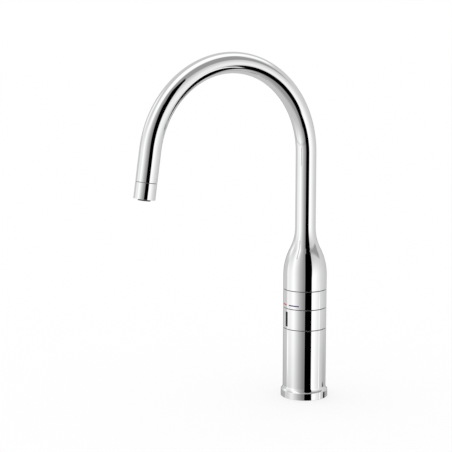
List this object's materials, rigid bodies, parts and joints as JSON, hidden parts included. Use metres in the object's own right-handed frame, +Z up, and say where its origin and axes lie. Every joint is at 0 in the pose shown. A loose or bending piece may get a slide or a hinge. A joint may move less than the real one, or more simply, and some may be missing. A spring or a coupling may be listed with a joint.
{
  "type": "sensor kitchen tap",
  "caption": "Tall chrome kitchen tap with an arched swivel spout, a turning temperature ring and a black sensor window on its round body.",
  "frame": {"origin": "centre of the foot's underside, on the swivel axis, where the tap stands on its deck", "axes": "+Z up along the body's axis; the spout points to -Y; hot is -X and cold is +X"},
  "size_m": [0.0544, 0.2561, 0.4023],
  "materials": {
    "chrome": "mirror-bright chrome plate on brass",
    "brass": "machined brass, left bare inside the body",
    "steel": "plain stainless steel",
    "rubber": "black moulded sealing rubber",
    "acetal": "off-white moulded bearing plastic",
    "joint_plastic": "dark grey moulded guide ring",
    "nozzle_plastic": "dark grey moulded jet plate",
    "holder_plastic": "black moulded sensor bracket",
    "ceramic": "lapped white ceramic disc",
    "copper": "enamelled copper winding",
    "window": "black infrared-clear window",
    "circuit_board": "green solder mask",
    "diode": "tinted cast resin",
    "hot_enamel": "crimson enamel filling",
    "cold_enamel": "indigo blue enamel filling"
  },
  "bodies": {
    "body": {"base_ring": "chrome", "base_gasket": "rubber", "body_shell": "chrome", "inlet_plate": "brass", "plate_screws": "steel", "cable_grommet": "rubber", "valve_body": "brass", "shell_seal": "rubber", "inlet_strainers": "steel", "check_valve_cages": "acetal", "hot_check_spring": "steel", "cold_check_spring": "steel", "port_seal": "rubber", "fixed_disc": "ceramic", "valve_cover": "brass", "cover_screws": "steel", "stop_pin": "steel", "swivel_post": "brass", "spout_seals": "rubber", "sensor_ring_gasket": "joint_plastic", "sensor_ring": "chrome", "bottom_guide_ring": "joint_plastic", "sensor_window": "window", "window_gasket": "rubber", "sensor_holder": "holder_plastic", "holder_screws": "steel", "sensor_board": "circuit_board", "ir_emitter": "diode", "ir_receiver": "diode", "diaphragm": "rubber", "armature_guide": "steel", "plunger_spring": "steel", "solenoid_coil": "copper", "solenoid_yoke": "steel", "solenoid_plug": "brass"},
    "spout": {"spout_shoulder": "chrome", "spout_tube": "chrome", "upper_swivel_bush": "acetal", "lower_swivel_bush": "acetal", "spout_grub_screw": "steel", "top_guide_ring": "joint_plastic", "collar_seal": "joint_plastic", "aerator_shell": "chrome", "aerator_insert": "nozzle_plastic", "aerator_screen": "steel", "aerator_seal": "rubber"},
    "temperature": {"temperature_ring": "chrome", "hot_mark": "hot_enamel", "cold_mark": "cold_enamel", "drive_hub": "acetal", "drive_sleeve": "brass", "moving_disc": "ceramic"},
    "plunger": {"solenoid_plunger": "steel"},
    "hot_check": {"hot_poppet": "acetal"},
    "cold_check": {"cold_poppet": "acetal"}
  },
  "joints": [
    {"name": "spout_swivel", "type": "hinge", "parent": "body", "child": "spout", "pos_m": [0, 0, 0.14], "axis": [0, 0, 1], "range_deg": [-60, 60]},
    {"name": "temperature_turn", "type": "hinge", "parent": "body", "child": "temperature", "pos_m": [0, 0, 0.1167], "axis": [0, 0, 1], "range_deg": [-40, 40]},
    {"name": "plunger_slide", "type": "slide", "parent": "body", "child": "plunger", "axis": [0, 0, -1], "range_m": [0, 0.002], "stiffness_N_per_m": 200, "springref_m": -0.003, "deforming": ["plunger_spring"]},
    {"name": "hot_check_slide", "type": "slide", "parent": "body", "child": "hot_check", "axis": [0, 0, 1], "range_m": [0, 0.0025], "stiffness_N_per_m": 100, "springref_m": -0.002, "deforming": ["hot_check_spring"]},
    {"name": "cold_check_slide", "type": "slide", "parent": "body", "child": "cold_check", "axis": [0, 0, 1], "range_m": [0, 0.0025], "stiffness_N_per_m": 100, "springref_m": -0.002, "deforming": ["cold_check_spring"]}
  ]
}
